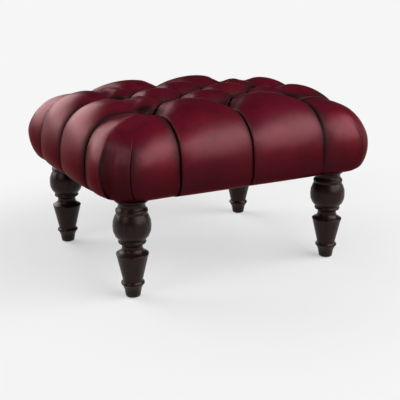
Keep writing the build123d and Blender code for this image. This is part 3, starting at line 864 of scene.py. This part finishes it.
def leather_finish(look):
    """Oxblood leather: painted shade with dark dye in its folds and hollows, painted shade low on its
    sides, pale fold edges of rubbed wear and painted highlight, rubbed crests, fine grain and a soft
    gloss.
    """
    skin = Finish("antiqued_leather", Specular_IOR_Level=0.55, Specular_Tint=(*look.gloss, 1),
                  Coat_Tint=(*look.glaze, 1), **COAT)
    place = skin.place()
    height = skin.height()
    # The painted shade, with dark dye, by the folds, in the button hollows and in the gores
    shade_mark = skin.attribute("shade")
    clouds = skin.noise(place, scale=7.0, detail=5.0, roughness=0.6, distortion=0.4)
    mottle = skin.noise(place, scale=45.0, detail=6.0, roughness=0.65)
    drift, speckle = clouds - MIDDLE, mottle - MIDDLE
    # Darker towards the bottom of the sides: painted shade, with dark dye
    low = skin.remap(height + drift * LOW_SHADE_SHIFT, *LOW_SHADE_HEIGHTS, *LOW_SHADE_SHARES)
    spots = skin.remap(mottle, *SPOT_SPAN, *SPOT_SHARES)
    # Painted shade with dark dye by the folds and hollows, mottled
    fold_shade_and_dye = skin.remap((shade_mark * FOLD_SHADE + speckle * FOLD_SHADE_MOTTLE).clamped(), *FOLD_SHADE_SPAN)
    # Pale lapping edges, paler higher up: rubbed wear and a painted highlight
    pale = skin.attribute("edge") * skin.remap(height, *PALE_EDGE_HEIGHTS)
    pale = pale * skin.remap(mottle, *MOTTLE_SPAN, *PALE_EDGE_SHARES)
    tone = skin.mix(look.leather, look.rubbed, skin.remap(clouds, *CLOUD_SPAN))
    # Layers of colour: painted shade low on the sides, dark spots, painted shade with dye by the
    # folds, painted shade at the bottom of the creases, and pale edges
    for layer, share in ((look.low_shade_and_dye, low), (look.low_shade_and_dye, spots), (look.shaded, fold_shade_and_dye),
                         (look.crease, shade_mark.clamped() ** CREASE_POWER), (look.pale_edge, pale)):
        tone = skin.mix(tone, layer, share)
    grain = skin.node("ShaderNodeTexVoronoi", {"feature": "DISTANCE_TO_EDGE"},
                      {"Vector": place, "Scale": 700.0}, "Distance")
    pores = skin.noise(place, scale=1600.0, detail=3.0, roughness=0.6)
    pulled = skin.noise(place, scale=38.0, detail=3.0, roughness=0.5, distortion=1.6)
    wrinkles = skin.bump(pulled * skin.remap(shade_mark, *PULLED_SPAN), distance=0.0015, strength=0.6)
    # The glaze is thicker low on the sides and over the folds: painted shade on the reflections there
    glaze_and_low_shade = skin.remap(height + drift * GLAZE_SHADE_SHIFT, *GLAZE_SHADE_HEIGHTS, *GLAZE_SHADE_SHARES)
    skin.surface(Base_Color=tone, Coat_Weight=glaze_and_low_shade.at_least(fold_shade_and_dye * SHADED_COAT),
                 Roughness=ROUGHNESS + speckle * MOTTLED_ROUGHNESS + fold_shade_and_dye * SHADED_ROUGHNESS,
                 Normal=skin.bump(grain * 0.6 + pores * 0.4, distance=0.00012, strength=0.35,
                                  under=wrinkles))
    return skin.material


def ring_of(sides):
    """Angles once round, evenly apart."""
    return np.linspace(0, 2 * math.pi, sides, endpoint=False)


def turned_faces(rings, sides, start=0):
    """Faces round rings of points from the bottom up, closed at both ends."""
    faces = []
    for i in range(rings - 1):
        low, high = start + i * sides, start + (i + 1) * sides
        for j in range(sides):
            k = (j + 1) % sides
            faces.append((low + j, low + k, high + k, high + j))
    faces.append(tuple(start + j for j in reversed(range(sides))))
    faces.append(tuple(start + (rings - 1) * sides + j for j in range(sides)))
    return faces


# The ends of an outline stop this close to its axis
AXIS_GAP = 0.01
# Half outline of a button from its back up to its crown, and the puckers round its edge
BUTTON_OUTLINE = ((AXIS_GAP, -0.6), (9.5, -0.6), (BUTTON_RADIUS, 0.4), (10.4, 1.9), (8.2, 3.9),
                  (4.5, 5.7), (AXIS_GAP, 6.3))
BUTTON_LIFT = 0.6
BUTTON_SIDES = 40
POINTS_PER_BUTTON_SPAN = 5
PUCKERS = 11
PUCKER_SHARE = 0.02


class FOOTSTOOL_OT_buttons(bpy.types.Operator):
    """Makes the leather-covered buttons, drawn down into the tufts"""

    bl_idname = "footstool.buttons"
    bl_label = "Buttons"

    def execute(self, context):
        outline = smooth_line(BUTTON_OUTLINE, POINTS_PER_BUTTON_SPAN)
        turns = ring_of(BUTTON_SIDES)
        places = [(PITCH_X * i, PITCH_Y * j) for i in (-1, 0, 1) for j in (-1, 0, 1)]
        places += [(PITCH_X / 2 * i, PITCH_Y / 2 * j) for i in (-1, 1) for j in (-1, 1)]
        points, faces = [], []
        for x, y in places:
            faces += turned_faces(len(outline), BUTTON_SIDES, len(points))
            for radius, z in outline:
                pucker = PUCKER_SHARE * np.cos(turns * PUCKERS + x) * (radius / BUTTON_RADIUS) ** 3
                points += [(x + r * math.cos(turn), y + r * math.sin(turn),
                            BUTTON_Z + BUTTON_LIFT + z)
                           for turn, r in zip(turns, radius * (1 + pucker))]
        piece = add_mesh("covered_buttons", np.array(points) * MM, faces)
        piece.data.materials.append(button_finish(context.scene.footstool_cushion))
        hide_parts("leather_buttons")
        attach(piece, "root")
        return {"FINISHED"}


def button_finish(look):
    """The cushion's leather as it is on the buttons, mostly in the colour of the painted fold shade:
    painted shade for their hollows, with dark dye.
    """
    skin = Finish("button_leather", Specular_IOR_Level=0.45, Specular_Tint=(*look.gloss, 1),
                  Coat_Weight=0.6, Coat_Tint=(*look.glaze, 1), **COAT)
    place = skin.place()
    mottle = skin.noise(place, scale=60.0, detail=5.0)
    pores = skin.noise(place, scale=1500.0, detail=3.0)
    rubbed = skin.remap(mottle, *MOTTLE_SPAN, *RUBBED_BUTTON_SHARES)
    skin.surface(Base_Color=skin.mix(look.shaded, look.leather, rubbed),
                 Roughness=0.34 + mottle * 0.12,
                 Normal=skin.bump(pores, distance=0.0001, strength=0.4))
    return skin.material


# The dust cover lies flat on the rails as far in from its edge as the first of these distances,
# and sags fully from the second on
SHEET_SPAN = (48.0, 96.0)
SHEET_SAG = 1.5
SHEET_POINTS = 61
# How wide and how high its ripples are, and how far they are shifted from the middle
RIPPLE_WIDTH = 34.0
RIPPLE_HEIGHT = 0.25
RIPPLE_SHIFT = 1.0


class FOOTSTOOL_OT_dust_cover(bpy.types.Operator):
    """Makes the thin black cloth stretched over the underside"""

    bl_idname = "footstool.dust_cover"
    bl_label = "Dust cover"

    def execute(self, context):
        low, high = in_mm(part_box("dust_cover"))
        thickness = high[2] - low[2]
        x, y = np.meshgrid(*np.linspace(low[:2], high[:2], SHEET_POINTS).T, indexing="ij")
        from_edge = np.minimum(high[0] - abs(x), high[1] - abs(y))
        ripple = np.sin(x / RIPPLE_WIDTH) * np.sin(y / RIPPLE_WIDTH + RIPPLE_SHIFT)
        sag = eased(span(from_edge, *SHEET_SPAN)) * (SHEET_SAG + ripple * RIPPLE_HEIGHT)
        z = high[2] - thickness / 2 - sag
        piece = add_mesh("stretched_dust_cover", np.stack([x, y, z], -1).reshape(-1, 3) * MM,
                         grid_faces(*x.shape))
        thicken = piece.modifiers.new("Thickness", "SOLIDIFY")
        thicken.thickness = thickness * MM
        thicken.offset = 0.0
        piece.data.materials.append(cloth_finish("dust_cloth"))
        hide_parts("dust_cover")
        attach(piece, "root")
        return {"FINISHED"}


# Half outline of a leg from the foot up: millimetres from its axis, and above the floor
LEG_OUTLINE = (
    (AXIS_GAP, 2.0), (13.6, 2.0), (14.6, 3.0), (17.4, 18.6), (18.4, 20.0), (19.4, 22.6),
    (20.6, 25.4), (22.8, 27.2), (23.4, 29.4), (22.8, 31.6), (20.2, 33.2), (19.7, 36.0),
    (31.2, 86.0), (32.2, 88.4), (32.2, 90.0), (31.0, 91.0), (26.6, 92.6), (22.4, 97.0),
    (20.6, 101.0), (20.2, 105.0), (21.0, 108.6), (23.6, 110.6), (26.8, 112.0), (27.7, 114.2),
    (27.0, 116.6), (25.4, 118.2), (27.6, 120.0), (33.2, 126.6), (37.0, 136.0), (37.8, 146.0),
    (37.0, 156.0), (33.8, 165.0), (30.6, 171.2), (30.0, 172.2), (31.2, 173.6), (31.8, 176.0),
    (31.2, 179.4), (29.4, 181.0), (27.4, 184.0), (26.5, 188.0), (27.2, 191.4), (30.6, 195.0),
    (33.6, 197.2), (34.0, 198.4), (34.0, 200.0), (AXIS_GAP, 200.0))
LEG_SIDES = 72
LEG_STEP = 4.0


def divided(outline, step):
    """The same outline with points between, about a step apart."""
    line = np.array(outline)
    fine = [line[0]]
    for a, b in zip(line[:-1], line[1:]):
        count = max(1, int(np.linalg.norm(b - a) / step))
        fine += [a + (b - a) * k / count for k in range(1, count + 1)]
    return fine


class FOOTSTOOL_OT_legs(bpy.types.Operator):
    """Makes the four turned legs, smooth over the frame's own"""

    bl_idname = "footstool.legs"
    bl_label = "Legs"

    def execute(self, context):
        wood = wood_finish(context.scene.footstool_legs)
        outline = divided(LEG_OUTLINE, LEG_STEP)
        faces = turned_faces(len(outline), LEG_SIDES)
        for name in ("leg_front_left", "leg_front_right", "leg_rear_left", "leg_rear_right"):
            low, high = in_mm(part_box(name))
            x, y = (low[:2] + high[:2]) / 2
            points = [(x + radius * math.cos(turn), y + radius * math.sin(turn), z)
                      for radius, z in outline for turn in ring_of(LEG_SIDES)]
            piece = add_mesh("turned_" + name, np.array(points) * MM, faces)
            piece.data.materials.append(wood)
            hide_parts(name)
            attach(piece, "root")
        return {"FINISHED"}


def wood_finish(look):
    """Nearly black stained hardwood under a satin lacquer, its grain running up the leg."""
    wood = Finish("stained_hardwood", Specular_IOR_Level=0.22, Specular_Tint=(*look.lacquer, 1))
    up_the_leg = wood.place((1.0, 1.0, 0.06))
    figure = wood.noise(up_the_leg, scale=160.0, detail=6.0, roughness=0.6, distortion=0.8)
    pores = wood.noise(up_the_leg, scale=900.0, detail=3.0, roughness=0.5)
    wear = wood.noise(wood.place(), scale=18.0)
    wood.surface(Base_Color=wood.mix(look.wood, look.grain, wood.remap(figure, 0.35, 0.7)),
                 Roughness=0.26 + wear * 0.16,
                 Normal=wood.bump(pores * 0.5 + figure * 0.5, distance=0.00015, strength=0.25))
    return wood.material


class FOOTSTOOL_OT_frame_finishes(bpy.types.Operator):
    """Gives the frame's own pieces their bare wood, steel, twine and nylon"""

    bl_idname = "footstool.frame_finishes"
    bl_label = "Frame finishes"

    def execute(self, context):
        finishes = {}
        slots = {s["node"]: s["material_slot"] for s in frame["record"]["subparts"]}
        makers = {"frame_wood": beech_finish, "plywood": plywood_finish, "steel": steel_finish,
                  "staple_wire": steel_finish, "twine": twine_finish, "glide_nylon": nylon_finish}
        for name, node in frame["nodes"].items():
            slot = slots[name]
            if slot not in makers or node.hide_render:
                continue
            if slot not in finishes:
                finishes[slot] = makers[slot](slot)
            node.data.materials.clear()
            node.data.materials.append(finishes[slot])
        return {"FINISHED"}


# The dark and the pale colour of each finish under the stool
BEECH = ((0.42, 0.24, 0.11), (0.60, 0.40, 0.22))
PLYWOOD = ((0.45, 0.28, 0.14), (0.66, 0.47, 0.27))
STEEL = ((0.42, 0.42, 0.44), (0.60, 0.60, 0.62))
BLACK_CLOTH = ((0.012, 0.012, 0.013), (0.045, 0.045, 0.048))
TWINE = ((0.42, 0.34, 0.20), (0.62, 0.54, 0.38))
NYLON = ((0.020, 0.015, 0.013), (0.050, 0.040, 0.035))


def beech_finish(name):
    wood = Finish(name, Roughness=0.6)
    along_the_rail = wood.place((0.05, 1.0, 1.0))
    figure = wood.noise(along_the_rail, scale=220.0, detail=5.0, roughness=0.6, distortion=0.5)
    wood.surface(Base_Color=wood.ramp(figure, 0.3, 0.7, BEECH),
                 Normal=wood.bump(figure, distance=0.0002, strength=0.3))
    return wood.material


def plywood_finish(name):
    ply = Finish(name, Roughness=0.65)
    layers = ply.noise(ply.place((0.05, 0.4, 90.0)), scale=8.0, detail=2.0)
    ply.surface(Base_Color=ply.ramp(layers, 0.35, 0.65, PLYWOOD))
    return ply.material


def steel_finish(name):
    steel = Finish(name, Metallic=1.0)
    spots = steel.noise(steel.place(), scale=400.0, detail=3.0)
    steel.surface(Base_Color=steel.ramp(spots, 0.3, 0.7, STEEL), Roughness=0.28 + spots * 0.2)
    return steel.material


def cloth_finish(name):
    cloth = Finish(name, Roughness=0.9)
    place = cloth.place()
    weave = cloth.node("ShaderNodeTexVoronoi", None, {"Vector": place, "Scale": 900.0}, "Distance")
    fibres = cloth.noise(place, scale=300.0, detail=5.0)
    cloth.surface(Base_Color=cloth.ramp(fibres, 0.3, 0.75, BLACK_CLOTH),
                  Normal=cloth.bump(weave, distance=0.0003, strength=0.5))
    return cloth.material


def twine_finish(name):
    twine = Finish(name, Roughness=0.8)
    twist = twine.node("ShaderNodeTexWave", {"bands_direction": "DIAGONAL"},
                       {"Vector": twine.place(), "Scale": 400.0}, "Fac")
    twine.surface(Base_Color=twine.ramp(twist, 0.0, 1.0, TWINE),
                  Normal=twine.bump(twist, distance=0.0003, strength=0.5))
    return twine.material


def nylon_finish(name):
    nylon = Finish(name)
    scuff = nylon.noise(nylon.place(), scale=250.0)
    nylon.surface(Base_Color=nylon.ramp(scuff, 0.3, 0.8, NYLON), Roughness=0.45 + scuff * 0.2)
    return nylon.material


# The floor's rings, in metres, and how far out it turns into plain backdrop
FLOOR_RADII = (0.4, 0.8, 1.3, 2.0, 4.0, 9.0)
FLOOR_SIDES = 96
BACKDROP_SPAN = (0.35, 1.1)
BACKDROP_SHARES = (0.45, 1.0)
# How high the pale backdrop reaches before the dim room begins, as a share of straight up
HORIZON_SHARE = 0.12
# Each lamp's name, degrees round from the back and up, width and height in metres, and glow
LAMPS = (("front_box", 142, 29, 3.0, 1.35, 4.3),
         ("back_box", -30, 21, 2.6, 1.1, 4.6),
         ("side_box", -110, 27, 0.9, 0.8, 3.0))
LAMP_TARGET = Vector((0, 0, 0.3))
LAMP_DISTANCE = 2.0
# Where the camera stands, in metres, and degrees round from the back and down that it looks
CAMERA_PLACE = (-0.8391, -1.5641, 0.6382)
CAMERA_TURN = 28.714
CAMERA_FALL = 12.196
SENSOR_WIDTH = 36.0


def heading(turn, rise):
    """The way that lies so many degrees round from the back, and so many up."""
    turn, rise = math.radians(turn), math.radians(rise)
    return Vector((math.sin(turn) * math.cos(rise), math.cos(turn) * math.cos(rise),
                   math.sin(rise)))


def seen(finish):
    """1 for the rays that show the background: the camera's, and those in gloss and glass."""
    camera, glossy, clear = (finish.node("ShaderNodeLightPath", out=f"Is {kind} Ray")
                             for kind in ("Camera", "Glossy", "Transmission"))
    return camera.at_least(glossy).at_least(clear)


def floor_finish(look):
    """Pale floor that turns into the backdrop further out and is clear from below."""
    pale = Finish("pale_floor", Roughness=0.9, Specular_IOR_Level=0.0)
    shown = seen(pale)
    pale.surface(Base_Color=pale.mix(look.room, look.floor, shown))
    here = pale.node("ShaderNodeTexCoord", out="Object")
    away = pale.node("ShaderNodeVectorMath", {"operation": "LENGTH"}, {0: here}, "Value")
    far = pale.remap(away, *BACKDROP_SPAN, *BACKDROP_SHARES) * shown
    glow = pale.node("ShaderNodeEmission", None, {"Color": (*look.floor, 1), "Strength": 1.0})
    clear = pale.node("ShaderNodeBsdfTransparent")
    behind = pale.node("ShaderNodeNewGeometry", out="Backfacing")
    plain = Wire(pale, pale.shader.outputs[0])
    above = pale.node("ShaderNodeMixShader", None, {0: far, 1: plain, 2: glow})
    both = pale.node("ShaderNodeMixShader", None, {0: behind, 1: above, 2: clear})
    pale.feed(pale.tree.nodes["Material Output"].inputs["Surface"], both)
    return pale.material


class FOOTSTOOL_OT_stage(bpy.types.Operator):
    """Sets the floor, the lights and the camera"""

    bl_idname = "footstool.stage"
    bl_label = "Stage"

    def execute(self, context):
        look = context.scene.footstool_stage
        scene = context.scene
        scene.view_settings.view_transform = "Standard"
        self.make_floor(look)
        self.make_world(scene, look)
        self.make_lights(scene)
        self.make_camera(scene, look)
        return {"FINISHED"}

    def make_floor(self, look):
        turns = ring_of(FLOOR_SIDES)
        points = [(0, 0, 0)]
        points += [(r * math.cos(t), r * math.sin(t), 0) for r in FLOOR_RADII for t in turns]
        faces = [(0, 1 + k, 1 + (k + 1) % FLOOR_SIDES) for k in range(FLOOR_SIDES)]
        for ring in range(len(FLOOR_RADII) - 1):
            for k in range(FLOOR_SIDES):
                a, b = (1 + ring * FLOOR_SIDES + side % FLOOR_SIDES for side in (k, k + 1))
                faces.append((a, a + FLOOR_SIDES, b + FLOOR_SIDES, b))
        floor = add_mesh("floor", points, faces)
        floor.data.materials.append(floor_finish(look))

    def make_world(self, scene, look):
        scene.world = bpy.data.worlds.new("studio")
        scene.world.use_nodes = True
        sky = Finish.of_tree(scene.world.node_tree)
        sky.tree.nodes.clear()
        way = sky.node("ShaderNodeTexCoord", out="Generated")
        rise = sky.node("ShaderNodeSeparateXYZ", None, {0: way}, "Z")
        near = sky.remap(rise, 0.0, HORIZON_SHARE, 1.0, 0.0) * seen(sky)
        shown = sky.mix(look.ceiling, look.floor, near)
        backdrop = sky.node("ShaderNodeBackground", None, {"Color": shown})
        sky.node("ShaderNodeOutputWorld", None, {0: backdrop}, None)

    def make_lights(self, scene):
        for name, turn, rise, width, height, glow in LAMPS:
            data = bpy.data.lights.new(name, "AREA")
            data.shape = "RECTANGLE"
            data.size = width
            data.size_y = height
            data.energy = glow * math.pi * width * height
            lamp = bpy.data.objects.new(name, data)
            scene.collection.objects.link(lamp)
            way = heading(turn, rise)
            lamp.location = LAMP_TARGET + way * LAMP_DISTANCE
            lamp.rotation_euler = way.to_track_quat("Z", "Y").to_euler()
            lamp.visible_camera = False

    def make_camera(self, scene, look):
        data = bpy.data.cameras.new("camera")
        data.lens = look.lens
        data.sensor_width = SENSOR_WIDTH
        data.shift_y = look.shift
        camera = bpy.data.objects.new("camera", data)
        scene.collection.objects.link(camera)
        camera.location = CAMERA_PLACE
        way = heading(CAMERA_TURN, -CAMERA_FALL)
        camera.rotation_euler = way.to_track_quat("-Z", "Y").to_euler()
        scene.camera = camera


class FOOTSTOOL_PT_panel(bpy.types.Panel):
    """Lists the footstool's steps"""

    bl_idname = "FOOTSTOOL_PT_panel"
    bl_label = "Footstool"
    bl_space_type = "VIEW_3D"
    bl_region_type = "UI"
    bl_category = "Footstool"

    def draw(self, context):
        for operator in OPERATORS:
            self.layout.operator(operator.bl_idname)
        for settings, _ in SETTINGS:
            box = self.layout.box()
            group = getattr(context.scene, settings)
            for name in group.__annotations__:
                box.prop(group, name)


SETTINGS = (("footstool_cushion", CushionSettings), ("footstool_legs", LegSettings),
            ("footstool_stage", StageSettings))
OPERATORS = (FOOTSTOOL_OT_cushion, FOOTSTOOL_OT_buttons, FOOTSTOOL_OT_dust_cover,
             FOOTSTOOL_OT_legs, FOOTSTOOL_OT_frame_finishes, FOOTSTOOL_OT_stage)


def register():
    for name, group in SETTINGS:
        bpy.utils.register_class(group)
        setattr(bpy.types.Scene, name, bpy.props.PointerProperty(type=group))
    for operator in OPERATORS:
        bpy.utils.register_class(operator)
    bpy.utils.register_class(FOOTSTOOL_PT_panel)


def unregister():
    bpy.utils.unregister_class(FOOTSTOOL_PT_panel)
    for operator in reversed(OPERATORS):
        bpy.utils.unregister_class(operator)
    for name, group in reversed(SETTINGS):
        delattr(bpy.types.Scene, name)
        bpy.utils.unregister_class(group)


def main():
    register()
    bpy.ops.footstool.cushion()
    bpy.ops.footstool.buttons()
    bpy.ops.footstool.dust_cover()
    bpy.ops.footstool.legs()
    bpy.ops.footstool.frame_finishes()
    bpy.ops.footstool.stage()


if __name__ == "__main__":
    main()
